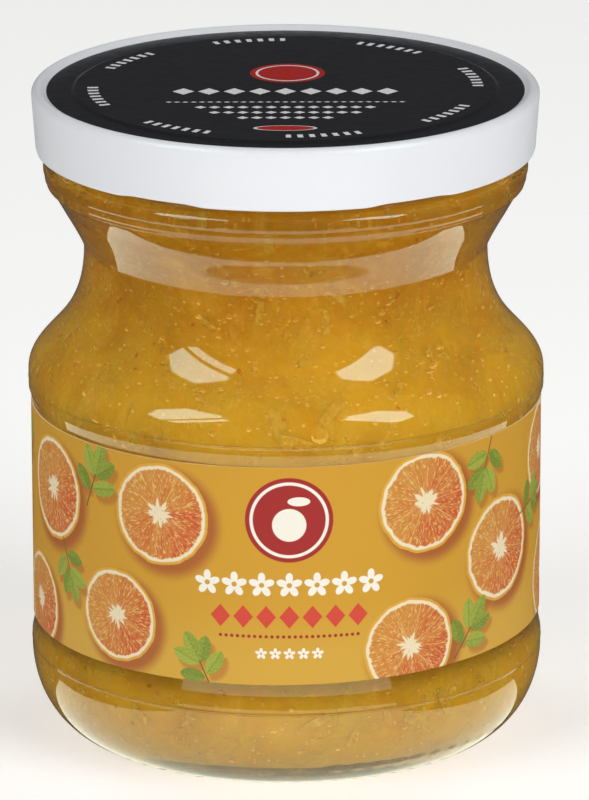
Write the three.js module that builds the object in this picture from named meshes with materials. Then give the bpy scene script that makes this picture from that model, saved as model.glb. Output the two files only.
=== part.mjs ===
import * as THREE from 'three';

// A shut marmalade jar: waisted glass, its filling, a twist-off lid and a wrap-round label.
// Millimetres, +Z up. The origin is the middle of the base, and the front of the label faces -Y.

// Driving dimensions of the whole jar
const TOTAL_HEIGHT = 105.1;
const BODY_RADIUS = 41.0;
const WAIST_RADIUS = 31.95;
const LID_RADIUS = 40.0;

// Round pieces share one number of sides, so that walls facing each other stay parallel
const SIDES = 60;
const FULL_TURN = Math.PI * 2;
const FIT_GAP = 0.3;

// Glass: foot, heel and label panel
const FOOT_RADIUS = 31.0;
const FOOT_RING_WIDTH = 2.4;
const FOOT_RING_LIP = 1.0;
const PUSH_UP = 2.8;
const PUSH_UP_MIDWAY = 2.5;
const HEEL_RADIUS = 40.9;
const HEEL_HEIGHT = 14.6;
const PANEL_RADIUS = 40.1;
const PANEL_BOTTOM = 18.4;
const PANEL_TOP = 55.2;
const PANEL_STEP = 0.9;
const PANEL_EDGE_EASE = 0.3;

// Glass: shoulder, waist and neck
const SHOULDER_HEIGHT = 59.1;
const SHOULDER_PULL = 5.4;
const WAIST_HEIGHT = 79.4;
const WAIST_PULL = 14.0;
const WAIST_CORNER = 1.6;
const NECK_SLOPE_DEG = 29.2;
const NECK_BEND = 85.4;
const NECK_TOP_RADIUS = 36.2;
const NECK_TOP = 87.9;

// Glass: beads under the lid and the mouth
const NOTCH_RADIUS = 36.05;
const NOTCH_HEIGHT = 88.4;
const RIDGE_RADIUS = 36.8;
const RIDGE_HEIGHT = 89.4;
const RIDGE_HALF_HEIGHT = 0.25;
const GROOVE_RADIUS = 36.75;
const GROOVE_HEIGHT = 90.5;
const BEAD_RADIUS = 38.3;
const BEAD_HEIGHT = 93.6;
const BEAD_HALF_HEIGHT = 2.7;
const MOUTH_OUTER_RADIUS = 37.3;
const MOUTH_INNER_RADIUS = 35.0;
const MOUTH_FOOT = 97.2;
const MOUTH_TOP = 103.4;
const MOUTH_ROUND = 0.8;

// Glass: inner wall
const INNER_RADIUS = 38.0;
const INNER_WAIST_RADIUS = 29.6;
const INNER_FLOOR = 5.2;
const INNER_FLOOR_RADIUS = 27.0;
const INNER_FLOOR_CENTRE = 7.4;
const INNER_FLOOR_MIDWAY = 6.9;
const INNER_HEEL_HEIGHT = 16.0;
const INNER_SHOULDER_HEIGHT = 57.6;
const INNER_MOUTH_FOOT = 94.5;
const INNER_NECK_PULL = 6.5;

// Filling
const FILL_LEVEL = 97.0;

// Lid
const LID_SKIRT_FOOT_RADIUS = 39.45;
const LID_FOOT = 95.1;
const LID_SHEET = 0.6;
const LID_SHOULDER_ROUND = 1.1;
const LID_CREST_RADIUS = LID_RADIUS - LID_SHOULDER_ROUND;
const LID_CREST_INNER_RADIUS = 38.5;
const LID_CREST_DROP = 0.15;
const LID_RING_RADIUS = 37.7;
const LID_RING_HEIGHT = 104.35;
const LID_STEP_OUTER_RADIUS = 33.7;
const LID_STEP_INNER_RADIUS = 33.1;
const LID_PANEL_HEIGHT = 104.7;
const CURL_INNER_RADIUS = 38.65;
const CURL_HEIGHT = 1.9;
const CURL_ROUND = 0.45;
const CURL_INNER_EASE = 0.27;
const LUG_COUNT = 6;
const LUG_RAISE = 0.35;
const LUG_FIRST_DEG = -30;
const LUG_HALF_WIDTH_DEG = 6;
const LUG_BLEND_DEG = 6;

// Label
const LABEL_OUTER_RADIUS = 40.65;
const LABEL_THICKNESS = 0.25;
const LABEL_BOTTOM = 19.3;
const LABEL_TOP = 54.7;
const LAP_HALF_WIDTH_DEG = 7;
const LAP_RAISE = 0.12;

const glassFinish = new THREE.MeshStandardMaterial({
  color: 0xe9e4d8,
  roughness: 0.05,
  metalness: 0,
  transparent: true,
  opacity: 0.35,
});
const marmaladeFinish = new THREE.MeshStandardMaterial({
  color: 0xc48f2c,
  roughness: 0.35,
  metalness: 0,
});
const lidFinish = new THREE.MeshStandardMaterial({
  color: 0xe8eaee,
  roughness: 0.35,
  metalness: 0,
});
const labelFinish = new THREE.MeshStandardMaterial({
  color: 0xd4a443,
  roughness: 0.6,
  metalness: 0,
});

function point(radius, height) {
  return new THREE.Vector2(radius, height);
}

// A round stretch of a profile: part of an ellipse, from one angle to another
function round(centre, radiusAcross, radiusUp, fromDeg, toDeg, steps) {
  const from = THREE.MathUtils.degToRad(fromDeg);
  const to = THREE.MathUtils.degToRad(toDeg);
  const clockwise = toDeg < fromDeg;
  const curve = new THREE.EllipseCurve(centre.x, centre.y, radiusAcross, radiusUp, from, to, clockwise);
  return curve.getPoints(steps);
}

// An S-shaped stretch of a profile that leaves and arrives upright
function sweep(start, end, startPull, endPull, steps) {
  const afterStart = point(start.x, start.y + startPull);
  const beforeEnd = point(end.x, end.y - endPull);
  return new THREE.CubicBezierCurve(start, afterStart, beforeEnd, end).getPoints(steps);
}

// Joins stretches into one profile and drops points that repeat
function joinProfile(...stretches) {
  const joined = [];
  for (const next of stretches.flat()) {
    const last = joined[joined.length - 1];
    if (!last || last.distanceTo(next) > 0.01) {
      joined.push(next);
    }
  }
  return joined;
}

// Turns a profile round the Z axis; the angle 0 of the turn is the front, -Y
function turned(profile) {
  const geometry = new THREE.LatheGeometry(profile, SIDES, 0, FULL_TURN);
  geometry.rotateX(Math.PI / 2);
  return geometry;
}

function piece(name, geometry, material) {
  const mesh = new THREE.Mesh(geometry, material);
  mesh.name = name;
  return mesh;
}

// Foot ring with the push-up under the base, then the rounded heel
function footAndHeel() {
  const ringInner = FOOT_RADIUS - FOOT_RING_WIDTH;
  const heelCentre = point(FOOT_RADIUS, HEEL_HEIGHT);
  return [
    point(0, PUSH_UP),
    point(ringInner / 2, PUSH_UP_MIDWAY),
    point(ringInner - FOOT_RING_LIP, FOOT_RING_LIP),
    point(ringInner, 0),
    ...round(heelCentre, HEEL_RADIUS - FOOT_RADIUS, HEEL_HEIGHT, -90, 0, 8),
  ];
}

// The label panel lies a step back between the heel and the shoulder, to keep the paper from rubbing
function labelPanel() {
  return [
    point(HEEL_RADIUS - PANEL_EDGE_EASE, PANEL_BOTTOM - PANEL_STEP),
    point(PANEL_RADIUS, PANEL_BOTTOM),
    point(PANEL_RADIUS, PANEL_TOP),
    point(BODY_RADIUS - PANEL_EDGE_EASE, PANEL_TOP + PANEL_STEP),
    point(BODY_RADIUS, PANEL_TOP + 2 * PANEL_STEP),
  ];
}

// Shoulder up into the waist, and the neck: a cone that leaves the waist in a tight round and eases off at its top
function shoulderAndNeck() {
  const shoulder = point(BODY_RADIUS, SHOULDER_HEIGHT);
  const waist = point(WAIST_RADIUS, WAIST_HEIGHT);
  const cornerCentre = point(WAIST_RADIUS + WAIST_CORNER, WAIST_HEIGHT);
  const slope = THREE.MathUtils.degToRad(NECK_SLOPE_DEG);
  const coneFoot = point(
    cornerCentre.x - WAIST_CORNER * Math.cos(slope),
    WAIST_HEIGHT + WAIST_CORNER * Math.sin(slope),
  );
  const alongCone = (height) => point(coneFoot.x + (height - coneFoot.y) * Math.tan(slope), height);
  const bend = alongCone(NECK_BEND);
  const bendPull = alongCone((NECK_BEND + NECK_TOP) / 2);
  const neckTop = point(NECK_TOP_RADIUS, NECK_TOP);
  return [
    ...sweep(shoulder, waist, SHOULDER_PULL, WAIST_PULL, 11),
    ...round(cornerCentre, WAIST_CORNER, WAIST_CORNER, 180, 180 - NECK_SLOPE_DEG, 2),
    ...new THREE.QuadraticBezierCurve(bend, bendPull, neckTop).getPoints(2),
  ];
}

// Small ridge, groove and large bead between the neck and the lid
function beads() {
  const beadCentre = point(MOUTH_OUTER_RADIUS, BEAD_HEIGHT);
  const beadReach = BEAD_RADIUS - MOUTH_OUTER_RADIUS;
  return [
    point(NOTCH_RADIUS, NOTCH_HEIGHT),
    point(RIDGE_RADIUS, RIDGE_HEIGHT - RIDGE_HALF_HEIGHT),
    point(RIDGE_RADIUS, RIDGE_HEIGHT + RIDGE_HALF_HEIGHT),
    point(GROOVE_RADIUS, GROOVE_HEIGHT),
    ...round(beadCentre, beadReach, BEAD_HALF_HEIGHT, -75, 75, 5),
  ];
}

// Plain collar of the mouth, hidden by the lid
function mouth() {
  return [
    point(MOUTH_OUTER_RADIUS, MOUTH_FOOT),
    point(MOUTH_OUTER_RADIUS, MOUTH_TOP - MOUTH_ROUND),
    point(MOUTH_OUTER_RADIUS - MOUTH_ROUND, MOUTH_TOP),
    point(MOUTH_INNER_RADIUS + MOUTH_ROUND, MOUTH_TOP),
    point(MOUTH_INNER_RADIUS, MOUTH_TOP - MOUTH_ROUND),
  ];
}

// Inner wall from the middle of the floor up to the mouth; the inset makes room for the fit of the filling
function innerWall(inset) {
  const heelCentre = point(INNER_FLOOR_RADIUS, INNER_HEEL_HEIGHT);
  const heelAcross = INNER_RADIUS - INNER_FLOOR_RADIUS - inset;
  const heelUp = INNER_HEEL_HEIGHT - INNER_FLOOR - inset;
  const shoulder = point(INNER_RADIUS - inset, INNER_SHOULDER_HEIGHT);
  const waist = point(INNER_WAIST_RADIUS - inset, WAIST_HEIGHT);
  const mouthFoot = point(MOUTH_INNER_RADIUS - inset, INNER_MOUTH_FOOT);
  return [
    point(0, INNER_FLOOR_CENTRE + inset),
    point(INNER_FLOOR_RADIUS / 2, INNER_FLOOR_MIDWAY + inset),
    ...round(heelCentre, heelAcross, heelUp, -90, 0, 5),
    ...sweep(shoulder, waist, SHOULDER_PULL, WAIST_PULL, 7),
    ...sweep(waist, mouthFoot, INNER_NECK_PULL, INNER_NECK_PULL, 4),
  ];
}

function glassJar() {
  const inside = innerWall(0).reverse();
  const profile = joinProfile(
    footAndHeel(), labelPanel(), shoulderAndNeck(), beads(), mouth(), inside,
  );
  return piece('glass_jar', turned(profile), glassFinish);
}

function marmalade() {
  const levelRadius = MOUTH_INNER_RADIUS - FIT_GAP;
  const profile = joinProfile(
    innerWall(FIT_GAP), [point(levelRadius, FILL_LEVEL), point(0, FILL_LEVEL)],
  );
  return piece('marmalade', turned(profile), marmaladeFinish);
}

// Underside of the pressed sheet, from the middle out to the inner face of the skirt
function lidUnderside() {
  return [
    point(0, LID_PANEL_HEIGHT - LID_SHEET),
    point(LID_STEP_INNER_RADIUS, LID_PANEL_HEIGHT - LID_SHEET),
    point(LID_STEP_OUTER_RADIUS, LID_RING_HEIGHT - LID_SHEET),
    point(LID_RING_RADIUS, LID_RING_HEIGHT - LID_SHEET),
    point(LID_CREST_RADIUS, TOTAL_HEIGHT - LID_SHEET),
    point(LID_RADIUS - LID_SHEET, TOTAL_HEIGHT - LID_SHOULDER_ROUND - LID_SHEET),
  ];
}

// The lower edge of the skirt is rolled inwards into a curl
function lidCurl() {
  const curlTop = LID_FOOT + CURL_HEIGHT;
  const rollHeight = LID_FOOT + CURL_ROUND;
  return [
    point(LID_SKIRT_FOOT_RADIUS - LID_SHEET, curlTop + CURL_ROUND),
    point(CURL_INNER_RADIUS, curlTop),
    point(CURL_INNER_RADIUS, rollHeight),
    point(CURL_INNER_RADIUS + CURL_INNER_EASE, LID_FOOT),
    ...round(point(LID_SKIRT_FOOT_RADIUS - CURL_ROUND, rollHeight), CURL_ROUND, CURL_ROUND, -90, 0, 3),
  ];
}

// Outer face: skirt with its draft, rounded crest, and the sunk top with its raised middle
function lidOutside() {
  const crestCentre = point(LID_CREST_RADIUS, TOTAL_HEIGHT - LID_SHOULDER_ROUND);
  return [
    ...round(crestCentre, LID_SHOULDER_ROUND, LID_SHOULDER_ROUND, 0, 90, 4),
    point(LID_CREST_INNER_RADIUS, TOTAL_HEIGHT - LID_CREST_DROP),
    point(LID_RING_RADIUS, LID_RING_HEIGHT),
    point(LID_STEP_OUTER_RADIUS, LID_RING_HEIGHT),
    point(LID_STEP_INNER_RADIUS, LID_PANEL_HEIGHT),
    point(0, LID_PANEL_HEIGHT),
  ];
}

// How far the lower edge is pulled up at an angle from the front: full at a lug, nothing between lugs
function lugRaise(angleDeg) {
  const pitch = 360 / LUG_COUNT;
  const fromLug = angleDeg - LUG_FIRST_DEG;
  const distance = Math.abs(fromLug - pitch * Math.round(fromLug / pitch));
  const fall = THREE.MathUtils.clamp((distance - LUG_HALF_WIDTH_DEG) / LUG_BLEND_DEG, 0, 1);
  return LUG_RAISE * (1 - fall);
}

function lid() {
  const profile = joinProfile(lidUnderside(), lidCurl(), lidOutside());
  const geometry = turned(profile);
  const places = geometry.attributes.position;
  const curlTop = LID_FOOT + CURL_HEIGHT;
  for (let i = 0; i < places.count; i += 1) {
    const height = places.getZ(i);
    if (height < curlTop) {
      const angle = Math.atan2(places.getX(i), -places.getY(i));
      const share = (curlTop - height) / CURL_HEIGHT;
      places.setZ(i, height + share * lugRaise(THREE.MathUtils.radToDeg(angle)));
    }
  }
  return piece('lid', geometry, lidFinish);
}

// Paper ring with its lap at the back, where one end is glued over the other
function label() {
  const outline = new THREE.Shape();
  const bore = new THREE.Path();
  const stepDeg = 360 / SIDES;
  const place = (radius, angleDeg) => {
    const angle = THREE.MathUtils.degToRad(angleDeg);
    return point(radius * Math.sin(angle), -radius * Math.cos(angle));
  };
  const outer = [];
  const inner = [];
  for (let side = 0; side < SIDES; side += 1) {
    const angleDeg = side * stepDeg;
    inner.push(place(LABEL_OUTER_RADIUS - LABEL_THICKNESS, angleDeg));
    if (Math.abs(angleDeg - 180) > LAP_HALF_WIDTH_DEG) {
      outer.push(place(LABEL_OUTER_RADIUS, angleDeg));
    } else {
      outer.push(place(LABEL_OUTER_RADIUS + LAP_RAISE, angleDeg));
    }
    if (angleDeg < 180 - LAP_HALF_WIDTH_DEG && angleDeg + stepDeg > 180 - LAP_HALF_WIDTH_DEG) {
      outer.push(place(LABEL_OUTER_RADIUS + LAP_RAISE, 180 - LAP_HALF_WIDTH_DEG));
    }
  }
  outline.setFromPoints(outer);
  bore.setFromPoints(inner);
  outline.holes.push(bore);
  const geometry = new THREE.ExtrudeGeometry(outline, {
    depth: LABEL_TOP - LABEL_BOTTOM,
    bevelEnabled: false,
  });
  geometry.translate(0, 0, LABEL_BOTTOM);
  return piece('label', geometry, labelFinish);
}

const jar = new THREE.Group();
jar.add(glassJar());
jar.add(marmalade());
jar.add(lid());
jar.add(label());

export default jar;
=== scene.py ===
import math
import random

import bpy
from mathutils import Matrix, Vector


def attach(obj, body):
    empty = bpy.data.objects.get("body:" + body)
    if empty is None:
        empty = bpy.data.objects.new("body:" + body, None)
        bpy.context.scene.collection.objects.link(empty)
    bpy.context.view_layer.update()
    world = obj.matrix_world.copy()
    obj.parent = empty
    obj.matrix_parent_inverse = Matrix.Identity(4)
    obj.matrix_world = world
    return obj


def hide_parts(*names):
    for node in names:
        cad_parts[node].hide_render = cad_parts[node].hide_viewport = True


bl_info = {
    "name": "Marmalade Jar",
    "version": (1, 0, 0),
    "blender": (4, 5, 0),
    "location": "View3D > Sidebar > Jar",
    "description": "Makes a shut jar of orange marmalade: glass, jelly with bubbles and peel, lid and label",
    "category": "Add Mesh",
}

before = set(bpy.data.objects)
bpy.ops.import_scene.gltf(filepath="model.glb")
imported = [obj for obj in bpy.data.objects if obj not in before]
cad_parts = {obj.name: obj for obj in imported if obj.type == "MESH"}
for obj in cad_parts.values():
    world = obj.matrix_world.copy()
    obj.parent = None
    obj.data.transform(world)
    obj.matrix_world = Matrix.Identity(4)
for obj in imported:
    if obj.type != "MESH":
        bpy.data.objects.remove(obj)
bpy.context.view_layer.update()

BODY = "root"
MM = 0.001
FULL_TURN = 2 * math.pi

# Heights and radii of the turned profiles, in millimetres. The neck's curve, the fine steps under the lid,
# the two mould lines, the raised dots and the inner floor differ a little from the plainer CAD solids
BODY_RADIUS = 41.0
HEEL_RADIUS = 40.9
HEEL_HEIGHT = 13.6
FOOT_RADIUS = 31.0
FOOT_INNER_RADIUS = 28.6
PUSH_UP = 2.8
PUSH_UP_RADIUS = 20
PANEL_RADIUS = 40.5
PANEL_BOTTOM = 17.2
PANEL_TOP = 54.9
LOWER_STEP = 1.9
UPPER_STEP = 1.6
LOWER_LINE = 14.3
UPPER_LINE = 57.9
LINE_HALF = 0.3
LINE_RISE = 0.05
SHOULDER_HEIGHT = 59.1
SHOULDER_PULL = 5.4
WAIST_RADIUS = 31.95
WAIST_HEIGHT = 79.4
WAIST_PULL = 14.0
WAIST_CORNER = 1.6
NECK_FOOT_SLOPE = 19.5
NECK_MIDDLE = (35.0, 85.6)
NECK_MIDDLE_SLOPE = 30.8
NECK_TOP = (36.85, 88.9)
NECK_STEPS = ((37.75, 89.7), (37.85, 90.15), (38.02, 90.5), (38.06, 91.35), (38.24, 91.7), (38.28, 92.3))
BEAD_ROUND = ((38.28, 92.35), (38.3, 93.0), (37.9, 93.45), (37.2, 94.0))
COLLAR_RADIUS = 36.9
COLLAR_FOOT = 94.8
COLLAR_TOP = 96.2
MOUTH_OUTER_RADIUS = 37.3
MOUTH_INNER_RADIUS = 35.0
MOUTH_FOOT = 97.2
MOUTH_TOP = 103.4
DOT_LEVEL = 4.1
DOT_RADIUS = 38.2
DOT_FIRST = math.radians(12)
DOT_PITCH = math.radians(5.2)
DOT_HALF_WIDTH = 0.8
DOT_HALF_HEIGHT = 0.55
DOT_BAND_FOOT = 2
DOT_BAND_TOP = 6.5
FOOT_MARK_TOP = 1.4
INNER_RADIUS = 38.0
INNER_WAIST_RADIUS = 29.6
INNER_FLOOR = 4.2
INNER_FLOOR_CENTRE = 6.0
INNER_FLOOR_RADIUS = 27.0
INNER_HEEL_HEIGHT = 16.0
INNER_SHOULDER_HEIGHT = 57.6
INNER_MOUTH_FOOT = 94.5
INNER_NECK_PULL = 6.5
WETTED_FOOT = 4
WETTED_FLOOR_TOP = 12
FILL_LEVEL = 97.0
CORE_FLOOR_DEPTH = 0.4
LID_RADIUS = 40.0
LID_FOOT_RADIUS = 39.45
LID_FOOT = 95.1
LID_SKIRT_FOOT = 96
LID_TOP = 105.1
LID_ROUND = 1.1
LID_SHEET = 0.6
LID_CURL = 0.45
LID_CREST_INNER_RADIUS = 38.5
LID_RING_RADIUS = 37.7
LID_RING_HEIGHT = 104.35
LID_STEP_OUTER_RADIUS = 33.7
LID_STEP_INNER_RADIUS = 33.1
LID_PANEL_HEIGHT = 104.7
LUG_COUNT = 6
LUG_FIRST = math.radians(-30)
LUG_HALF_WIDTH = math.radians(6)
LUG_BLEND = math.radians(6)
LUG_REACH = 1.9
LABEL_RADIUS = 40.65
LABEL_THICKNESS = 0.13
LABEL_BOTTOM = 19.3
LABEL_TOP = 54.7


def srgb(red, green, blue):
    """A colour of 0 to 255 parts, as the shaders want it"""
    parts = []
    for part in (red, green, blue):
        share = part / 255
        if share <= 0.04045:
            parts.append(share / 12.92)
        else:
            parts.append(((share + 0.055) / 1.055) ** 2.4)
    return (*parts, 1.0)


def colour_prop(name, description, default):
    return bpy.props.FloatVectorProperty(
        name=name, description=description, default=default, size=4, min=0, max=1, subtype="COLOR",
    )


def length_prop(name, description, default):
    return bpy.props.FloatProperty(
        name=name, description=description, default=default, min=0, unit="LENGTH", precision=5,
    )


def count_prop(name, description, default, lowest=0):
    return bpy.props.IntProperty(name=name, description=description, default=default, min=lowest)


def turn_prop(name, description, default_deg):
    return bpy.props.FloatProperty(
        name=name, description=description, default=math.radians(default_deg), unit="ROTATION",
    )


def strength_prop(name, description, default):
    return bpy.props.FloatProperty(name=name, description=description, default=default, min=0)


class GlassSettings(bpy.types.PropertyGroup):
    sides: count_prop("Sides", "Steps of the turn, four for each mark on the foot", 264, 24)
    foot_marks: count_prop("Foot marks", "Marks round the foot that keep the hot glass off the belt", 66)
    foot_mark_depth: length_prop("Foot mark depth", "Depth between two marks", 0.35 * MM)
    dots: count_prop("Dots", "Raised dots in a row on the heel", 10, 1)
    dot_height: length_prop("Dot height", "How far a dot stands out", 0.2 * MM)
    tint: colour_prop("Tint", "What the glass lets through", (0.975, 0.985, 0.965, 1))


class JellySettings(bpy.types.PropertyGroup):
    seed: count_prop("Seed", "Start of the random draws", 11)
    bubbles: count_prop("Bubbles", "Small air bubbles in all", 2300)
    shreds: count_prop("Shreds", "Strips of peel, besides the broad pieces", 70)
    bits: count_prop("Bits", "Fine orange bits in all", 90)
    depth: length_prop("Depth", "How deep the eye sees into the jelly", 2.4 * MM)
    overlap: length_prop("Overlap", "How far the jelly reaches into the glass", 0.15 * MM)
    amber: colour_prop("Amber", "Body of the jelly", srgb(206, 162, 44))
    # Painted light: a lighter amber laid on the wide body of the jelly, below the waist
    lit: colour_prop("Lit amber", "Body of the jelly where it is widest", srgb(212, 176, 58))
    # Darker amber, used both for the random clouds and for the painted shade in the neck under the lid
    cloud_and_shade_amber: colour_prop("Deep amber", "Darker cloud in the jelly", srgb(186, 132, 30))
    pulp: colour_prop("Pulp", "Paler cloud of pulp", srgb(224, 184, 92))
    peel: colour_prop("Peel", "Shreds of peel", srgb(240, 198, 100))
    zest: colour_prop("Zest", "Fine orange bits", srgb(210, 92, 34))
    # Painted highlight: pale colour that stands in for the light a bubble gathers, on its film and on its
    # inner cup
    painted_bubble_glow: colour_prop("Bubble light", "Light gathered by a bubble", srgb(248, 222, 142))


class LidSettings(bpy.types.PropertyGroup):
    sides: count_prop("Sides", "Steps of the turn", 240, 24)
    lug_raise: length_prop("Lug raise", "How far the edge is pulled up at a lug", 0.35 * MM)
    enamel: colour_prop("Enamel", "White lacquer", srgb(229, 231, 235))
    ink: colour_prop("Ink", "Black of the printed top", srgb(26, 26, 31))
    print_white: colour_prop("Print white", "White of the printed top", srgb(232, 232, 232))
    emblem: colour_prop("Emblem", "Red of the round emblem", srgb(176, 30, 26))


class LabelSettings(bpy.types.PropertyGroup):
    sides: count_prop("Sides", "Steps once round", 240, 24)
    lap: turn_prop("Lap", "Angle that one end lies over the other", 12)
    lap_raise: length_prop("Lap raise", "How far the upper end stands off", 0.3 * MM)
    rise: length_prop("Rise", "How much higher the label sits at the right than in the middle", 0.43 * MM)
    ground: colour_prop("Ground", "Orange-yellow of the paper", srgb(203, 150, 28))
    flesh: colour_prop("Flesh", "Red side of the fruit flesh", srgb(200, 76, 30))
    flesh_pale: colour_prop("Pale flesh", "Yellow side of the fruit flesh", srgb(204, 134, 48))
    glint: colour_prop("Glint", "Wet glints in the flesh", srgb(226, 190, 112))
    shadow: colour_prop("Shadow", "Printed shadow under fruit and leaves", srgb(160, 72, 24))
    pith: colour_prop("Pith", "White of the peel", srgb(234, 218, 180))
    rind: colour_prop("Rind", "Skin of the fruit", srgb(216, 160, 44))
    leaf: colour_prop("Leaf", "Leaves in the shade", srgb(112, 130, 30))
    stalk: colour_prop("Stalk", "Stalks of the leaves", srgb(120, 84, 30))
    leaf_pale: colour_prop("Pale leaf", "Lit leaves", srgb(158, 168, 56))
    badge: colour_prop("Badge", "Dark red of the badge", srgb(158, 22, 22))
    accent: colour_prop("Accent", "Orange-red of the lower row", srgb(206, 62, 42))
    white: colour_prop("White", "White of the ornaments", srgb(240, 234, 220))


class StageSettings(bpy.types.PropertyGroup):
    aim_height: length_prop("Aim height", "Height that the camera looks at", 53.1 * MM)
    aim_side: length_prop("Aim side", "How far right of the jar the camera stands and looks", 1.345 * MM)
    camera_distance: length_prop("Camera distance", "From the aim", 1.084)
    camera_elevation: turn_prop("Camera elevation", "Above the floor", 17.125)
    camera_roll: turn_prop("Camera roll", "Tilt of the picture", -0.09)
    lens: bpy.props.FloatProperty(
        name="Lens", description="Focal length for a 36 mm sensor", default=305.8, unit="CAMERA",
    )
    floor_size: length_prop("Floor size", "Half the side of the floor", 3.0)
    floor_colour: colour_prop("Floor", "Pale floor", (0.9, 0.9, 0.89, 1))
    floor_glow: strength_prop("Floor glow", "Light that comes up through the floor", 0.33)
    front_colour: colour_prop("Softbox colour", "Colour of the softboxes in the glass", (0.76, 1.0, 0.88, 1))
    room_light: strength_prop("Room light", "Brightness of the dim room", 0.07)
    table_glow: strength_prop("Table glow", "Brightness of the table top that the glass mirrors", 2.1)


class MARMALADE_PG_jar(bpy.types.PropertyGroup):
    glass: bpy.props.PointerProperty(type=GlassSettings)
    jelly: bpy.props.PointerProperty(type=JellySettings)
    lid: bpy.props.PointerProperty(type=LidSettings)
    label: bpy.props.PointerProperty(type=LabelSettings)
    stage: bpy.props.PointerProperty(type=StageSettings)


def smooth(share):
    """Nought to one with a soft start and end, held at both"""
    held = min(max(share, 0), 1)
    return held * held * (3 - 2 * held)


def arc(centre, across, up, from_deg, to_deg, steps):
    """Part of an ellipse in a profile"""
    points = []
    for step in range(steps + 1):
        angle = math.radians(from_deg + (to_deg - from_deg) * step / steps)
        points.append((centre[0] + across * math.cos(angle), centre[1] + up * math.sin(angle)))
    return points


def bezier(corners, steps):
    """A curve drawn by its corners, three or four of them"""
    points = []
    for step in range(steps + 1):
        row = [Vector(corner) for corner in corners]
        while len(row) > 1:
            row = [a.lerp(b, step / steps) for a, b in zip(row, row[1:])]
        points.append(tuple(row[0]))
    return points


def sweep(start, end, start_pull, end_pull, steps):
    """An S-shaped stretch that leaves and arrives upright"""
    after_start = (start[0], start[1] + start_pull)
    before_end = (end[0], end[1] - end_pull)
    return bezier([start, after_start, before_end, end], steps)


def eased(corners, ease, steps=4):
    """Straight stretches whose inner corners are rounded, with a point held close to each round"""
    held = ease * 1.5
    points = [corners[0]]
    for before, corner, after in zip(corners, corners[1:], corners[2:]):
        middle = Vector(corner)
        into = (middle - Vector(before)).normalized()
        out = (Vector(after) - middle).normalized()
        points.append(tuple(middle - into * held))
        points.extend(bezier([middle - into * ease, middle, middle + out * ease], steps))
        points.append(tuple(middle + out * held))
    points.append(corners[-1])
    return points


def joined(*stretches):
    """One profile from its stretches, without points that repeat"""
    points = []
    for stretch in stretches:
        for place in stretch:
            if not points or (Vector(place) - Vector(points[-1])).length > 0.02:
                points.append(place)
    return points


def foot_and_heel():
    base = eased(
        [
            (0, PUSH_UP),
            (PUSH_UP_RADIUS, PUSH_UP - 0.3),
            (FOOT_INNER_RADIUS - 0.8, 0.8),
            (FOOT_INNER_RADIUS, 0),
            (FOOT_RADIUS, 0),
        ],
        0.4,
    )
    heel = arc((FOOT_RADIUS, HEEL_HEIGHT), HEEL_RADIUS - FOOT_RADIUS, HEEL_HEIGHT, -90, 0, 44)
    return base + heel


def label_panel():
    return eased(
        [
            (HEEL_RADIUS, HEEL_HEIGHT),
            (HEEL_RADIUS, LOWER_LINE - LINE_HALF),
            (HEEL_RADIUS + LINE_RISE, LOWER_LINE),
            (HEEL_RADIUS, LOWER_LINE + LINE_HALF),
            (HEEL_RADIUS, PANEL_BOTTOM - LOWER_STEP),
            (PANEL_RADIUS, PANEL_BOTTOM),
            (PANEL_RADIUS, PANEL_TOP),
            (BODY_RADIUS, PANEL_TOP + UPPER_STEP),
            (BODY_RADIUS, UPPER_LINE - LINE_HALF),
            (BODY_RADIUS + LINE_RISE, UPPER_LINE),
            (BODY_RADIUS, UPPER_LINE + LINE_HALF),
            (BODY_RADIUS, SHOULDER_HEIGHT - 0.3),
        ],
        0.12,
    )


def shoulder_and_neck():
    """Bulged shoulder, waist and the neck, whose slope grows steeper on its way up"""
    shoulder = sweep(
        (BODY_RADIUS, SHOULDER_HEIGHT), (WAIST_RADIUS, WAIST_HEIGHT), SHOULDER_PULL, WAIST_PULL, 52,
    )
    corner = (WAIST_RADIUS + WAIST_CORNER, WAIST_HEIGHT)
    waist = arc(corner, WAIST_CORNER, WAIST_CORNER, 180, 180 - NECK_FOOT_SLOPE, 6)
    foot_radius, foot_height = waist[-1]
    low_slope = math.tan(math.radians(NECK_FOOT_SLOPE))
    high_slope = math.tan(math.radians(NECK_MIDDLE_SLOPE))
    rise = NECK_MIDDLE[1] - foot_height
    before = (NECK_MIDDLE[0] - foot_radius - high_slope * rise) / (low_slope - high_slope)
    between = (foot_radius + low_slope * before, foot_height + before)
    neck = bezier([waist[-1], between, NECK_MIDDLE], 12)
    return shoulder + waist + neck + [NECK_TOP]


def beads():
    """Flare under the lid with two fine steps, then the round that turns in to the collar"""
    steps = eased([NECK_TOP, *NECK_STEPS], 0.08, 2)
    return steps + bezier(BEAD_ROUND, 10) + [(COLLAR_RADIUS, COLLAR_FOOT), (COLLAR_RADIUS, COLLAR_TOP)]


def mouth():
    return eased(
        [
            (MOUTH_OUTER_RADIUS, MOUTH_FOOT),
            (MOUTH_OUTER_RADIUS, MOUTH_TOP),
            (MOUTH_INNER_RADIUS, MOUTH_TOP),
            (MOUTH_INNER_RADIUS, FILL_LEVEL),
        ],
        0.8, 6,
    )


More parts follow.
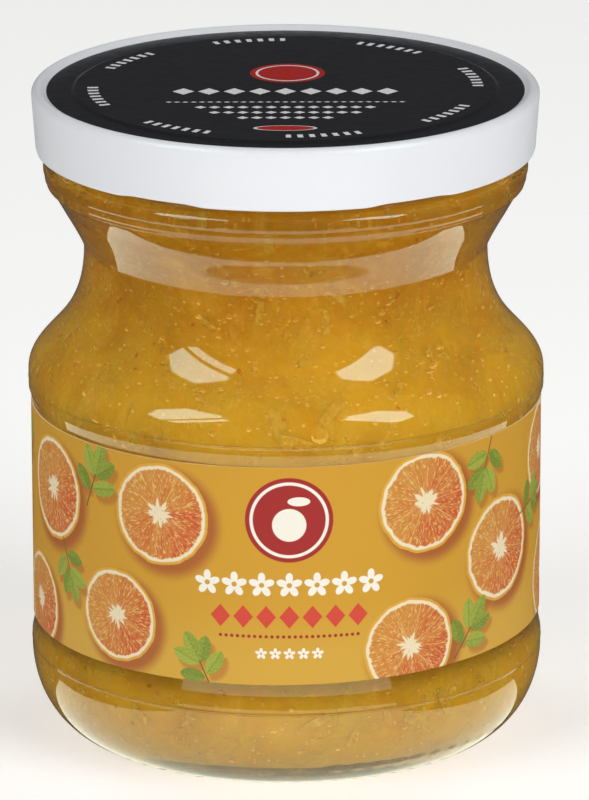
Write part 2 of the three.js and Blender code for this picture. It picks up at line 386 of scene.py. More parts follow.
def inner_wall(outset, floor_outset=None):
    """Inside of the glass from the middle of the floor up to the fill, moved out into the glass or in"""
    sunk = outset if floor_outset is None else floor_outset
    heel = arc(
        (INNER_FLOOR_RADIUS, INNER_HEEL_HEIGHT),
        INNER_RADIUS - INNER_FLOOR_RADIUS + outset,
        INNER_HEEL_HEIGHT - INNER_FLOOR + sunk,
        -90, 0, 28,
    )
    shoulder = (INNER_RADIUS + outset, INNER_SHOULDER_HEIGHT)
    waist = (INNER_WAIST_RADIUS + outset, WAIST_HEIGHT)
    mouth_foot = (MOUTH_INNER_RADIUS + outset, INNER_MOUTH_FOOT)
    floor = [(0, INNER_FLOOR_CENTRE - sunk), (INNER_FLOOR_RADIUS / 2, INNER_FLOOR_CENTRE - 0.5 - sunk)]
    panel_rise = INNER_SHOULDER_HEIGHT - INNER_HEEL_HEIGHT
    panel = [(INNER_RADIUS + outset, INNER_HEEL_HEIGHT + panel_rise * step / 6) for step in range(1, 6)]
    return joined(
        floor,
        heel,
        panel,
        sweep(shoulder, waist, SHOULDER_PULL, WAIST_PULL, 40),
        sweep(waist, mouth_foot, INNER_NECK_PULL, INNER_NECK_PULL, 24),
        [(MOUTH_INNER_RADIUS + outset, FILL_LEVEL)],
    )


def start_piece(name):
    """A new mesh object with one point at the middle of the base, in edit mode"""
    bpy.ops.object.select_all(action="DESELECT")
    bpy.ops.mesh.primitive_plane_add(size=1 * MM, location=(0, 0, 0))
    piece = bpy.context.active_object
    piece.name = name
    piece.data.name = name
    bpy.ops.object.mode_set(mode="EDIT")
    bpy.ops.mesh.select_all(action="SELECT")
    bpy.ops.mesh.merge(type="CENTER")
    return piece


def turned(name, profile, steps, angle=FULL_TURN):
    """Draws a profile in millimetres point by point and spins it round the jar's axis"""
    piece = start_piece(name)
    last = Vector((0, 0, 0))
    for number, (radius, height) in enumerate(profile):
        place = Vector((radius * MM, 0, height * MM))
        if number == 0:
            bpy.ops.transform.translate(value=place - last)
        else:
            bpy.ops.mesh.extrude_region_move(TRANSFORM_OT_translate={"value": place - last})
        last = place
    bpy.ops.mesh.select_all(action="SELECT")
    bpy.ops.mesh.spin(steps=steps, angle=angle, center=(0, 0, 0), axis=(0, 0, 1))
    return piece


def close_up(piece, threshold=0.002 * MM):
    """Closes seams and poles, turns the faces outwards and shades the piece smooth"""
    bpy.ops.object.mode_set(mode="EDIT")
    bpy.ops.mesh.select_all(action="SELECT")
    bpy.ops.mesh.remove_doubles(threshold=threshold)
    bpy.ops.mesh.normals_make_consistent(inside=False)
    bpy.ops.object.mode_set(mode="OBJECT")
    bpy.ops.object.shade_smooth()


def place_piece(piece, stands_for=()):
    """Lets a finished piece ride on the jar, and hides the CAD parts that it stands for"""
    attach(piece, BODY)
    if stands_for:
        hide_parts(*stands_for)


class Bench:
    """Adds nodes to a material, so that a pattern can be written as a sum"""

    def __init__(self, tree):
        self.tree = tree

    def feed(self, socket, value):
        if isinstance(value, bpy.types.NodeSocket):
            self.tree.links.new(value, socket)
        elif value is not None:
            socket.default_value = value

    def add(self, kind, inputs=(), **settings):
        node = self.tree.nodes.new(kind)
        for name, value in settings.items():
            setattr(node, name, value)
        pairs = inputs.items() if isinstance(inputs, dict) else enumerate(inputs)
        for key, value in pairs:
            self.feed(node.inputs[key], value)
        return node

    def math(self, operation, *values, clamp=False):
        return self.add("ShaderNodeMath", values, operation=operation, use_clamp=clamp).outputs[0]

    def plus(self, first, second, clamp=False):
        return self.math("ADD", first, second, clamp=clamp)

    def minus(self, first, second):
        return self.math("SUBTRACT", first, second)

    def times(self, first, second):
        return self.math("MULTIPLY", first, second)

    def over(self, first, second):
        return self.math("DIVIDE", first, second)

    def most(self, first, second):
        return self.math("MAXIMUM", first, second)

    def size(self, value):
        return self.math("ABSOLUTE", value)

    def length(self, place):
        return self.vector("LENGTH", place)

    def vector(self, operation, *values):
        node = self.add("ShaderNodeVectorMath", operation=operation)
        sockets = [node.inputs[0], node.inputs[3 if operation == "SCALE" else 1]]
        for socket, value in zip(sockets, values):
            self.feed(socket, value)
        return node.outputs["Value"] if operation in ("LENGTH", "DISTANCE") else node.outputs["Vector"]

    def parts(self, place):
        return self.add("ShaderNodeSeparateXYZ", [place]).outputs

    def joined(self, *parts):
        return self.add("ShaderNodeCombineXYZ", parts).outputs[0]

    def ramp(self, value, low, high, to_low=0.0, to_high=1.0, soft=True):
        """Maps low to high onto to_low to to_high, held at both ends"""
        kind = "SMOOTHSTEP" if soft else "LINEAR"
        node = self.add("ShaderNodeMapRange", [value, low, high, to_low, to_high], interpolation_type=kind)
        return node.outputs[0]

    def line(self, value, low, high, to_low=0.0, to_high=1.0):
        return self.ramp(value, low, high, to_low, to_high, soft=False)

    def mix(self, share, first, second):
        node = self.add("ShaderNodeMix", data_type="RGBA")
        self.feed(node.inputs[0], share)
        self.feed(node.inputs[6], first)
        self.feed(node.inputs[7], second)
        return node.outputs[2]

    def pick(self, share, first, second):
        node = self.add("ShaderNodeMix", data_type="VECTOR")
        self.feed(node.inputs[0], share)
        self.feed(node.inputs[4], first)
        self.feed(node.inputs[5], second)
        return node.outputs[1]

    def noise(self, place, scale, detail=2.0, roughness=0.5, distortion=0.0):
        settings = {
            "Vector": place,
            "Scale": scale,
            "Detail": detail,
            "Roughness": roughness,
            "Distortion": distortion,
        }
        return self.add("ShaderNodeTexNoise", settings).outputs[0]

    def object_place(self):
        return self.add("ShaderNodeTexCoord").outputs["Object"]

    def bump(self, height, strength, distance, normal=None):
        settings = {"Height": height, "Strength": strength, "Distance": distance, "Normal": normal}
        return self.add("ShaderNodeBump", settings).outputs[0]


def new_material(name):
    material = bpy.data.materials.new(name)
    material.use_nodes = True
    tree = material.node_tree
    tree.nodes.clear()
    output = tree.nodes.new("ShaderNodeOutputMaterial")
    return material, Bench(tree), output


def surface(bench, output, shader):
    bench.tree.links.new(shader, output.inputs["Surface"])


def lamps_pass(bench, shader, tint):
    """Lets the light of lamps through to what the glass holds"""
    path = bench.add("ShaderNodeLightPath")
    clear = bench.add("ShaderNodeBsdfTransparent", {"Color": tint})
    mixed = bench.add("ShaderNodeMixShader", [path.outputs["Is Shadow Ray"], shader, clear.outputs[0]])
    return mixed.outputs[0]


def glass_material(name, settings, ior):
    """Container glass with faint waves left by the mould"""
    material, bench, output = new_material(name)
    place = bench.object_place()
    waves = bench.noise(bench.vector("MULTIPLY", place, (1, 1, 0.35)), 55, 2)
    body = bench.add(
        "ShaderNodeBsdfPrincipled",
        {
            "Base Color": settings.tint,
            "Roughness": 0.0,
            "IOR": ior,
            "Transmission Weight": 1.0,
            "Normal": bench.bump(waves, 0.35, 0.15 * MM),
        },
    )
    surface(bench, output, lamps_pass(bench, body.outputs[0], (0.97, 0.97, 0.97, 1)))
    return material


def jelly_clouds(bench, settings):
    """Amber with darker and paler clouds and thin upright wisps of pulp, painted lighter on the wide body and
    with painted shade up the neck under the lid
    """
    place = bench.object_place()
    broad = bench.noise(place, 90, 3, 0.55, 0.4)
    fine = bench.noise(place, 420, 3, 0.6)
    wisps = bench.noise(bench.vector("MULTIPLY", place, (1, 1, 0.28)), 300, 4, 0.6, 1.2)
    height = bench.parts(place)[2]
    colour = bench.mix(bench.ramp(broad, 0.36, 0.64, 0.25, 1), settings.cloud_and_shade_amber, settings.amber)
    # Painted light: the body below 62 mm is made lighter, fading out towards the waist at 78 mm
    wide = bench.ramp(height, 78 * MM, 62 * MM, 0, 0.85)
    lit = bench.times(wide, bench.ramp(broad, 0.3, 0.6, 0.5, 1))
    colour = bench.mix(lit, colour, settings.lit)
    # Painted shade: the jelly darkens from the waist up to the mouth, where the lid shades it
    colour = bench.mix(bench.ramp(height, 68 * MM, 96 * MM, 0, 0.75), colour, settings.cloud_and_shade_amber)
    colour = bench.mix(bench.ramp(wisps, 0.52, 0.78, 0, 0.6), colour, settings.pulp)
    colour = bench.mix(bench.ramp(fine, 0.5, 0.75, 0, 0.25), colour, settings.pulp)
    for scale, size in ((620, 0.2), (1150, 0.24)):
        cells = bench.add("ShaderNodeTexVoronoi", {"Vector": place, "Scale": scale})
        speck = bench.ramp(cells.outputs["Distance"], size, size * 0.5)
        chosen = bench.ramp(bench.parts(cells.outputs["Color"])[0], 0.42, 0.47, 0, 0.8)
        colour = bench.mix(bench.times(speck, chosen), colour, settings.pulp)
    return colour, place


def soft_normal(bench, place, share):
    """Light in cloudy jelly hardly follows its surface, so the normal leans outwards from the axis"""
    outward = bench.vector("MULTIPLY", place, (1, 1, 0))
    outward = bench.add("ShaderNodeVectorMath", [outward], operation="NORMALIZE").outputs[0]
    own = bench.add("ShaderNodeNewGeometry").outputs["Normal"]
    return bench.pick(share, own, outward)


def jelly_core_material(settings):
    """Depth of the jelly, where its pulp stops the eye"""
    material, bench, output = new_material("jelly_depth")
    colour, place = jelly_clouds(bench, settings)
    lumps = bench.noise(place, 260, 3, 0.6)
    body = bench.add(
        "ShaderNodeBsdfPrincipled",
        {
            "Base Color": colour,
            "Roughness": bench.ramp(lumps, 0.3, 0.7, 0.45, 0.65),
            "Subsurface Weight": 0.6,
            "Subsurface Radius": (1.0, 0.45, 0.12),
            "Subsurface Scale": 6 * MM,
            "Specular IOR Level": 0.1,
            "Normal": bench.bump(lumps, 0.5, 0.5 * MM, soft_normal(bench, place, 0.6)),
        },
    )
    surface(bench, output, body.outputs[0])
    return material


def jelly_skin_material(settings):
    """First layer of the jelly: mostly clear, with a thin haze of pulp in clouds"""
    material, bench, output = new_material("jelly_haze")
    colour, place = jelly_clouds(bench, settings)
    haze = bench.ramp(bench.noise(place, 150, 4, 0.6, 0.5), 0.35, 0.75, 0.05, 0.38)
    body = bench.add(
        "ShaderNodeBsdfPrincipled",
        {
            "Base Color": colour,
            "Roughness": 0.5,
            "Specular IOR Level": 0.0,
            "Subsurface Weight": 0.5,
            "Subsurface Radius": (1.0, 0.45, 0.12),
            "Subsurface Scale": 5 * MM,
            "Normal": soft_normal(bench, place, 0.6),
        },
    )
    clear = bench.add("ShaderNodeBsdfTransparent", {"Color": (1.0, 0.9, 0.66, 1)})
    mixed = bench.add("ShaderNodeMixShader", [haze, clear.outputs[0], body.outputs[0]])
    surface(bench, output, mixed.outputs[0])
    return material


def bubble_material(settings):
    """Air in jelly: a faint pale film that is a painted highlight, with a thin glossy rim"""
    material, bench, output = new_material("air_bubble")
    clear = bench.add("ShaderNodeBsdfTransparent", {"Color": (0.99, 0.97, 0.9, 1)})
    gloss = bench.add("ShaderNodeBsdfGlossy", {"Color": (1, 0.96, 0.85, 1), "Roughness": 0.15})
    facing = bench.add("ShaderNodeLayerWeight", {"Blend": 0.3}).outputs["Fresnel"]
    rim = bench.ramp(facing, 0.1, 0.9, 0.03, 0.45)
    film = bench.add("ShaderNodeMixShader", [rim, clear.outputs[0], gloss.outputs[0]])
    # Painted highlight: a faint pale film over the whole bubble
    grain = bench.noise(bench.object_place(), 800, 2)
    faint = bench.mix(bench.ramp(grain, 0.3, 0.7), settings.pulp, settings.painted_bubble_glow)
    veil = bench.add("ShaderNodeBsdfDiffuse", {"Color": faint})
    body = bench.add("ShaderNodeMixShader", [0.09, film.outputs[0], veil.outputs[0]])
    surface(bench, output, lamps_pass(bench, body.outputs[0], (1, 0.99, 0.96, 1)))
    return material


def painted_crescent_material(settings):
    """Painted highlight on the far wall of a bubble: a pale cup that stands in for the light the bubble
    gathers from above
    """
    material, bench, output = new_material("painted_bubble_highlight")
    place = bench.object_place()
    grain = bench.noise(place, 700, 2)
    faint = bench.mix(0.5, settings.painted_bubble_glow, settings.pulp)
    colour = bench.mix(bench.ramp(grain, 0.3, 0.6), faint, settings.painted_bubble_glow)
    body = bench.add(
        "ShaderNodeBsdfPrincipled",
        {"Base Color": colour, "Roughness": bench.ramp(grain, 0.3, 0.7, 0.12, 0.3)},
    )
    surface(bench, output, lamps_pass(bench, body.outputs[0], (1, 1, 1, 1)))
    return material


def peel_material(name, colour, settings):
    """Boiled peel: half clear, its edges glassy"""
    material, bench, output = new_material(name)
    place = bench.object_place()
    grain = bench.noise(place, 900, 3)
    body = bench.add(
        "ShaderNodeBsdfPrincipled",
        {
            "Base Color": bench.mix(bench.ramp(grain, 0.35, 0.7), colour, settings.pulp),
            "Roughness": bench.ramp(grain, 0.3, 0.7, 0.4, 0.6),
            "Specular IOR Level": 0.2,
            "Subsurface Weight": 0.8,
            "Subsurface Radius": (1.0, 0.6, 0.2),
            "Subsurface Scale": 1.5 * MM,
            "Normal": bench.bump(grain, 0.15, 0.1 * MM, soft_normal(bench, place, 0.85)),
        },
    )
    clear = bench.add("ShaderNodeBsdfTransparent", {"Color": (1.0, 0.98, 0.92, 1)})
    soaked = bench.ramp(bench.noise(place, 500, 3, 0.6), 0.3, 0.7, 0.2, 0.7)
    mixed = bench.add("ShaderNodeMixShader", [soaked, clear.outputs[0], body.outputs[0]])
    surface(bench, output, lamps_pass(bench, mixed.outputs[0], (1.0, 0.97, 0.9, 1)))
    return material


def scattered(name, stamp, placements):
    """One mesh with a copy of the stamp at each placement, and the stamp removed"""
    corners = [vertex.co.copy() for vertex in stamp.data.vertices]
    faces = [tuple(face.vertices) for face in stamp.data.polygons]
    finishes = [face.material_index for face in stamp.data.polygons]
    places = []
    joined_faces = []
    for matrix in placements:
        start = len(places)
        places.extend(matrix @ corner for corner in corners)
        joined_faces.extend(tuple(start + corner for corner in face) for face in faces)
    mesh = bpy.data.meshes.new(name)
    mesh.from_pydata(places, [], joined_faces)
    mesh.polygons.foreach_set("material_index", finishes * len(placements))
    piece = bpy.data.objects.new(name, mesh)
    bpy.context.scene.collection.objects.link(piece)
    bpy.data.objects.remove(stamp)
    bpy.ops.object.select_all(action="DESELECT")
    piece.select_set(True)
    bpy.context.view_layer.objects.active = piece
    bpy.ops.object.shade_smooth()
    return piece


def wall_radius_at(height, wall):
    """Radius of a rising profile at a height, both in millimetres"""
    for low, high in zip(wall, wall[1:]):
        if low[1] <= height <= high[1] and high[1] > low[1]:
            share = (height - low[1]) / (high[1] - low[1])
            return low[0] + share * (high[0] - low[0])
    return wall[-1][0]


# Heights in millimetres between which the jelly shows, below the label once and above it three times
BUBBLE_ZONES = ((5.5, 19), (55, 68), (62, 82), (74, 95))


def sunk_place(draw, wall, low, high, nearest, deepest):
    """A random place in the jelly just inside the glass: its angle, height and radius, in millimetres"""
    angle = draw.uniform(0, FULL_TURN)
    height = draw.uniform(low, high)
    radius = wall_radius_at(height, wall) - draw.uniform(nearest, deepest)
    return angle, height, radius


def spot(angle, radius, height):
    return Vector((radius * math.sin(angle), -radius * math.cos(angle), height)) * MM


class JarOperator(bpy.types.Operator):
    bl_options = {"REGISTER", "UNDO"}

    @property
    def settings(self):
        return bpy.context.scene.marmalade_jar


class MARMALADE_OT_blow_glass(JarOperator):
    """Turns the glass jar, with its inner wall wetted by the jelly"""

    bl_idname = "marmalade.blow_glass"
    bl_label = "Glass jar"

    def execute(self, context):
        glass = self.settings.glass
        outside = joined(foot_and_heel(), label_panel(), shoulder_and_neck(), beads(), mouth())
        inside = inner_wall(0)
        profile = joined(outside, inside[::-1])
        jar = turned("blown_glass", profile, glass.sides)
        close_up(jar)
        for vertex in jar.data.vertices:
            place = vertex.co
            radius = math.hypot(place.x, place.y)
            outer = radius > (FOOT_INNER_RADIUS - 0.5) * MM
            if outer and place.z < FOOT_MARK_TOP * MM:
                turn = math.atan2(place.y, place.x)
                between = 0.5 - 0.5 * math.cos(turn * glass.foot_marks)
                place.z += glass.foot_mark_depth * between * (1 - place.z / (FOOT_MARK_TOP * MM))
            if outer and DOT_BAND_FOOT * MM < place.z < DOT_BAND_TOP * MM:
                place.xy *= 1 + glass.dot_height * self.dot_share(place, glass.dots) / radius
        jar.data.materials.append(glass_material("clear_glass", glass, 1.5))
        jar.data.materials.append(glass_material("wetted_glass", glass, 1.02))
        for face in jar.data.polygons:
            if self.is_wetted(face):
                face.material_index = 1
        place_piece(jar, ["glass_jar"])
        return {"FINISHED"}

    def is_wetted(self, face):
        """Whether a face is on the part of the inner wall that the jelly touches"""
        middle = face.center
        if not WETTED_FOOT * MM < middle.z < FILL_LEVEL * MM:
            return False
        if math.hypot(middle.x, middle.y) >= (INNER_RADIUS + 0.2) * MM:
            return False
        inward = face.normal.x * middle.x + face.normal.y * middle.y < 0
        return inward or (middle.z < WETTED_FLOOR_TOP * MM and face.normal.z > 0.3)

    def dot_share(self, place, count):
        """How much of a raised dot stands at a place on the heel"""
        turn = math.atan2(place.x, -place.y)
        nearest = min(max(round((turn - DOT_FIRST) / DOT_PITCH), 0), count - 1)
        across = (turn - DOT_FIRST - nearest * DOT_PITCH) * DOT_RADIUS / DOT_HALF_WIDTH
        up = (place.z / MM - DOT_LEVEL) / DOT_HALF_HEIGHT
        return math.exp(-across * across - up * up)


class MARMALADE_OT_fill_jelly(JarOperator):
    """Fills the jar with marmalade: a hazy first layer round a cloudy core"""

    bl_idname = "marmalade.fill_jelly"
    bl_label = "Marmalade"

    def execute(self, context):
        jelly = self.settings.jelly
        skin = turned("jelly", inner_wall(jelly.overlap / MM) + [(0, FILL_LEVEL)], self.settings.lid.sides)
        close_up(skin)
        skin.data.materials.append(jelly_skin_material(jelly))
        place_piece(skin, ["marmalade"])
        depth = jelly.depth / MM
        core_top = FILL_LEVEL - 1
        core_profile = inner_wall(-depth, -CORE_FLOOR_DEPTH)[:-1]
        core_profile += [(MOUTH_INNER_RADIUS - depth, core_top), (0, core_top)]
        core = turned("jelly_core", core_profile, self.settings.lid.sides)
        close_up(core)
        core.data.materials.append(jelly_core_material(jelly))
        place_piece(core)
        return {"FINISHED"}


class MARMALADE_OT_sink_bubbles(JarOperator):
    """Sinks small air bubbles in the jelly, most of them near the glass"""

    bl_idname = "marmalade.sink_bubbles"
    bl_label = "Air bubbles"

    # Large bubbles: turn from the front in degrees, height and radius in millimetres
    LARGE = (
        (43, 65.5, 0.95), (-64, 62.5, 1.5), (8, 58.8, 1.5), (28, 74.0, 0.6), (-22, 62.8, 0.7), (120, 66, 1.1),
        (190, 62, 1.2), (235, 70, 0.9),
    )

    def execute(self, context):
        jelly = self.settings.jelly
        draw = random.Random(jelly.seed)
        wall = inner_wall(0)[2:]
        placements = []
        for _ in range(jelly.bubbles):
            size = min(0.2 + draw.expovariate(1 / 0.1), 0.6)
            low, high = draw.choice(BUBBLE_ZONES)
            angle, height, radius = sunk_place(draw, wall, low, high, size + 0.05, 1.7)
            flat = Matrix.Diagonal((1, 1, draw.uniform(0.85, 1.0), 1))
            placements.append(self.sunk(angle, radius, height, size) @ flat)
        large = []
        for angle_deg, height, size in self.LARGE:
            angle = math.radians(angle_deg)
            large.append(self.sunk(angle, wall_radius_at(height, wall) - size - 0.1, height, size))
        finishes = (bubble_material(jelly), painted_crescent_material(jelly))
        for name, segments, spots in (("air_bubbles", 7, placements), ("large_bubbles", 28, large)):
            piece = scattered(name, self.bubble(segments), spots)
            for finish in finishes:
                piece.data.materials.append(finish)
            place_piece(piece)
        return {"FINISHED"}

    def sunk(self, angle, radius, height, size):
        place = Matrix.Translation(spot(angle, radius, height))
        return place @ Matrix.Rotation(angle, 4, "Z") @ Matrix.Scale(size, 4)

    def bubble(self, segments):
        """A sphere of 1 mm radius with a pale cup inside, low on its far wall, which carries a painted
        highlight
        """
        bpy.ops.object.select_all(action="DESELECT")
        bpy.ops.mesh.primitive_uv_sphere_add(
            segments=segments, ring_count=segments * 2 // 3 + 1, radius=1 * MM, location=(0, 0, 0),
        )
        piece = bpy.context.active_object
        mesh = piece.data
        corners = [vertex.co.copy() for vertex in mesh.vertices]
        faces = [tuple(face.vertices) for face in mesh.polygons]
        rim_start = len(corners)
        # The pale cup that carries the painted highlight
        for step in range(-3, 4):
            turn = math.radians(25 * step)
            corners.append(Vector((0.9 * math.sin(turn), 0.1, -0.9 * math.cos(turn))) * MM)
            corners.append(Vector((0.78 * math.sin(turn), 0.45, -0.5 * math.cos(turn))) * MM)
        for step in range(6):
            first = rim_start + 2 * step
            faces.append((first, first + 2, first + 3, first + 1))
        cup = bpy.data.meshes.new("bubble_stamp")
        cup.from_pydata(corners, [], faces)
        for face in cup.polygons[-6:]:
            face.material_index = 1
        piece.data = cup
        return piece


class MARMALADE_OT_sink_peel(JarOperator):
    """Sinks curled shreds of peel and fine orange bits in the jelly"""

    bl_idname = "marmalade.sink_peel"
    bl_label = "Peel"

    # Broad pieces seen near the glass: turn from the front in degrees, height in millimetres, tilt in
    # degrees, and how many times longer and wider than a strip
    BROAD = (
        (-2, 60.0, 62, 1.5, 2.4), (11, 61.0, -48, 1.7, 2.2), (3, 57.6, 12, 2.0, 2.0),
        (-34, 66.5, 80, 1.2, 1.6), (30, 63.0, -70, 1.0, 1.4), (-8, 76.0, 100, 1.3, 1.2),
        (6, 11.5, -28, 1.7, 1.5), (17, 9.5, -62, 1.3, 1.4), (25, 11.8, 72, 1.1, 1.3),
        (33, 10.6, 20, 1.4, 2.0), (41, 12.2, 66, 1.5, 1.8), (-38, 11.0, 40, 1.2, 1.4),
        (118, 62, 30, 1.5, 2.0), (170, 66, -50, 1.4, 2.0), (-120, 60, 70, 1.6, 1.8),
        (-160, 11, 10, 1.4, 1.6),
    )

    def execute(self, context):
        jelly = self.settings.jelly
        draw = random.Random(jelly.seed + 1)
        wall = inner_wall(0)[2:]
        shreds = self.lay(draw, wall, "peel_shreds", jelly.shreds, (0.6, 1.5), (0.7, 1.7), 1.5, self.BROAD)
        shreds.data.materials.append(peel_material("boiled_peel", jelly.peel, jelly))
        place_piece(shreds)
        bits = self.lay(draw, wall, "zest_bits", jelly.bits, (0.15, 0.5), (0.3, 0.7), 0.8)
        bits.data.materials.append(peel_material("orange_zest", jelly.zest, jelly))
        place_piece(bits)
        return {"FINISHED"}

    def lay(self, draw, wall, name, count, lengths, widths, sunk, broad=()):
        placements = []
        for _ in range(count):
            low, high = draw.choice(BUBBLE_ZONES)
            angle, height, radius = sunk_place(draw, wall, low + 2, high, sunk, 2.8)
            turn = Matrix.Rotation(angle, 4, "Z") @ Matrix.Rotation(draw.uniform(0, math.pi), 4, "Y")
            tip = Matrix.Rotation(draw.uniform(-0.4, 0.4), 4, "X")
            size = Matrix.Diagonal((draw.uniform(*lengths), draw.uniform(0.7, 1.1), draw.uniform(*widths), 1))
            placements.append(Matrix.Translation(spot(angle, radius, height)) @ turn @ tip @ size)
        for angle_deg, height, tilt_deg, length, width in broad:
            angle = math.radians(angle_deg)
            place = Matrix.Translation(spot(angle, wall_radius_at(height, wall) - 1.5, height))
            turn = Matrix.Rotation(angle, 4, "Z") @ Matrix.Rotation(math.radians(tilt_deg), 4, "Y")
            placements.append(place @ turn @ Matrix.Diagonal((length, 0.9, width, 1)))
        return scattered(name, self.strip(), placements)

    def strip(self):
        """A curled strip with rounded edges, about 3 mm long"""
        bpy.ops.object.select_all(action="DESELECT")
        bpy.ops.mesh.primitive_cube_add(size=1 * MM, location=(0, 0, 0))
        piece = bpy.context.active_object
        bpy.ops.object.mode_set(mode="EDIT")
        bpy.ops.transform.resize(value=(3.0, 0.55, 0.9))
        bpy.ops.mesh.subdivide(number_cuts=5)
        bpy.ops.object.mode_set(mode="OBJECT")
        for vertex in piece.data.vertices:
            along = vertex.co.x / (1.5 * MM)
            vertex.co.y += 0.35 * MM * along * along
            vertex.co.z *= 1 - 0.3 * along * along
        modifier = piece.modifiers.new("round", "SUBSURF")
        modifier.levels = 1
        modifier.render_levels = 1
        bpy.ops.object.modifier_apply(modifier=modifier.name)
        return piece


class MARMALADE_OT_press_lid(JarOperator):
    """Turns the twist-off lid and pulls its lower edge up at the lugs"""

    bl_idname = "marmalade.press_lid"
    bl_label = "Lid"

    def execute(self, context):
        settings = self.settings.lid
        top = eased(
            [
                (0, LID_PANEL_HEIGHT),
                (LID_STEP_INNER_RADIUS, LID_PANEL_HEIGHT),
                (LID_STEP_OUTER_RADIUS, LID_RING_HEIGHT),
                (LID_RING_RADIUS, LID_RING_HEIGHT),
                (LID_CREST_INNER_RADIUS, LID_TOP - 0.12),
                (LID_RADIUS - LID_ROUND, LID_TOP),
            ],
            0.22, 4,
        )
        crest = arc((LID_RADIUS - LID_ROUND, LID_TOP - LID_ROUND), LID_ROUND, LID_ROUND, 90, 0, 10)
        widening = LID_RADIUS - LID_FOOT_RADIUS
        skirt_rise = LID_TOP - LID_ROUND - LID_SKIRT_FOOT
        skirt = [
            (LID_FOOT_RADIUS + widening * step / 5, LID_SKIRT_FOOT + skirt_rise * step / 5)
            for step in range(4, -1, -1)
        ]
        curl = arc((LID_FOOT_RADIUS - LID_CURL, LID_FOOT + LID_CURL), LID_CURL, LID_CURL, 0, -180, 10)
        inner = eased(
            [
                (LID_FOOT_RADIUS - 2 * LID_CURL, LID_FOOT + 0.5),
                (LID_FOOT_RADIUS - 2 * LID_CURL, LID_FOOT + 1.8),
                (LID_FOOT_RADIUS - LID_SHEET, LID_FOOT + 2.4),
                (LID_RADIUS - LID_SHEET, LID_TOP - LID_ROUND),
                (LID_RADIUS - LID_ROUND, LID_TOP - LID_SHEET),
                (LID_RING_RADIUS, LID_RING_HEIGHT - LID_SHEET),
                (LID_STEP_OUTER_RADIUS, LID_RING_HEIGHT - LID_SHEET),
                (LID_STEP_INNER_RADIUS, LID_PANEL_HEIGHT - LID_SHEET),
                (0, LID_PANEL_HEIGHT - LID_SHEET),
            ],
            0.15, 2,
        )
        lid = turned("twist_off_lid", joined(top, crest, skirt, curl, inner), settings.sides)
        close_up(lid)
        reach_top = (LID_FOOT + LUG_REACH) * MM
        for vertex in lid.data.vertices:
            place = vertex.co
            if place.z < reach_top:
                share = (reach_top - place.z) / (reach_top - LID_FOOT * MM)
                place.z += share * settings.lug_raise * self.lug_share(place)
        lid.data.materials.append(self.enamel(settings))
        place_piece(lid, ["lid"])
        return {"FINISHED"}

    def lug_share(self, place):
        pitch = FULL_TURN / LUG_COUNT
        from_lug = math.atan2(place.x, -place.y) - LUG_FIRST
        distance = abs(from_lug - pitch * round(from_lug / pitch))
        return 1 - smooth((distance - LUG_HALF_WIDTH) / LUG_BLEND)

    def enamel(self, settings):
        """White lacquered tinplate with a black printed top, a ring of dashes, an emblem and ornaments"""
        material, bench, output = new_material("lid_enamel_print")
        place = bench.vector("SCALE", bench.object_place(), 1 / MM)
        x, y, z = bench.parts(place)
        flat = bench.joined(x, y, 0.0)
        away = bench.length(flat)
        turn = bench.math("ARCTAN2", y, x)
        on_top = bench.line(z, LID_RING_HEIGHT - 0.25, LID_RING_HEIGHT - 0.2)
        disc = bench.times(bench.line(away, LID_RING_RADIUS, LID_RING_RADIUS - 0.12), on_top)

        white = self.dashes(bench, away, turn)
        white = bench.most(white, self.ornaments(bench, x, y))
        emblem_place = bench.vector("DISTANCE", flat, (0.3, 8.5, 0.0))
        emblem = bench.line(emblem_place, 6.0, 5.88)
        ring = bench.times(bench.line(emblem_place, 5.1, 5.0), bench.line(emblem_place, 4.6, 4.7))
        oval_place = bench.joined(x, bench.plus(y, 25.5), 0.0)
        oval = bench.length(bench.vector("DIVIDE", oval_place, (5.0, 1.6, 1)))
        red = bench.most(emblem, bench.line(oval, 0.9, 0.86))
        white = bench.most(white, bench.times(bench.line(oval, 1.0, 0.97), bench.line(oval, 0.86, 0.9)))
        colour = bench.mix(white, settings.ink, settings.print_white)
        colour = bench.mix(red, colour, settings.emblem)
        colour = bench.mix(ring, colour, settings.print_white)
        grain = bench.noise(place, 1.6, 2)
        enamel = bench.mix(bench.ramp(grain, 0.3, 0.7, 0, 0.04), settings.enamel, (0.7, 0.72, 0.75, 1))
        colour = bench.mix(disc, enamel, colour)
        body = bench.add(
            "ShaderNodeBsdfPrincipled",
            {
                "Base Color": colour,
                "Roughness": bench.ramp(bench.noise(place, 0.5, 3), 0.3, 0.7, 0.3, 0.38),
                "Normal": bench.bump(grain, 0.12, 0.02 * MM),
            },
        )
        surface(bench, output, body.outputs[0])
        return material

    def dashes(self, bench, away, turn):
        """Short white dashes in eight groups near the rim"""
        lane = bench.times(bench.line(away, 29.4, 29.5), bench.line(away, 31.2, 31.1))
        group = bench.math("SINE", bench.times(turn, 8))
        stroke = bench.math("SINE", bench.times(turn, 104))
        marks = bench.times(bench.ramp(group, 0.0, 0.05), bench.ramp(stroke, 0.0, 0.2))
        return bench.times(lane, marks)

    def ornaments(self, bench, x, y):
        """Rows of lozenges and beads in the middle of the print"""
        total = None
        for middle, pitch, tall, half_width in (
            (-3.0, 4.0, 2.3, 18.0), (-9.6, 1.3, 0.35, 18.85), (-12.8, 2.2, 0.9, 14.3),
            (-16.0, 2.2, 0.9, 12.1), (-19.2, 2.2, 0.9, 7.7),
        ):
            across = bench.math("PINGPONG", bench.plus(x, pitch * 50), pitch / 2)
            across = bench.over(across, pitch * 0.5)
            upward = bench.over(bench.size(bench.minus(y, middle)), tall)
            shape = bench.plus(across, upward)
            across_all = bench.size(x)
            lozenge = bench.line(shape, 0.88, 0.82)
            mark = bench.times(lozenge, bench.line(across_all, half_width, half_width - 0.05))
            total = mark if total is None else bench.most(total, mark)
        return total


